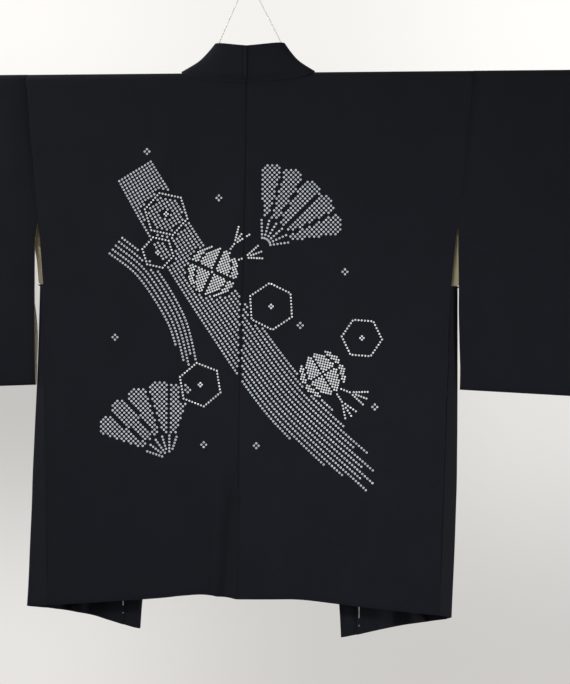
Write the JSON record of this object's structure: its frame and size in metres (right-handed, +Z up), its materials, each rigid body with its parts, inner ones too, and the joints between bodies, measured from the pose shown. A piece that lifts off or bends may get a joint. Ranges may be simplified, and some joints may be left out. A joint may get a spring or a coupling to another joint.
{
  "type": "haori jacket on a hanging rod",
  "caption": "Black crepe haori jacket with wide sleeves and a long collar band, spread on a wooden rod and hung by a string",
  "frame": {"origin": "top of the string's loop, where the rod hangs from a nail or hook", "axes": "+X along the rod towards the wearer's right-hand sleeve as seen from behind, +Y the way the wearer faces (the jacket's back faces -Y), +Z up"},
  "size_m": [1.344, 0.0717, 0.9867],
  "materials": {
    "crepe": "matt near-black silk crepe",
    "lining": "soft cream silk lining",
    "rod_wood": "plain sanded wood",
    "string": "thin undyed cotton string"
  },
  "bodies": {
    "root": {"body_left": "crepe", "body_lining_left": "lining", "body_lining_right": "lining", "body_right": "crepe", "collar_left": "crepe", "collar_right": "crepe", "gusset_left": "crepe", "gusset_right": "crepe", "hang_string": "string", "rod": "rod_wood", "sleeve_left": "crepe", "sleeve_lining_left": "lining", "sleeve_lining_right": "lining", "sleeve_right": "crepe", "string_knot_left": "string", "string_knot_right": "string"}
  },
  "joints": []
}
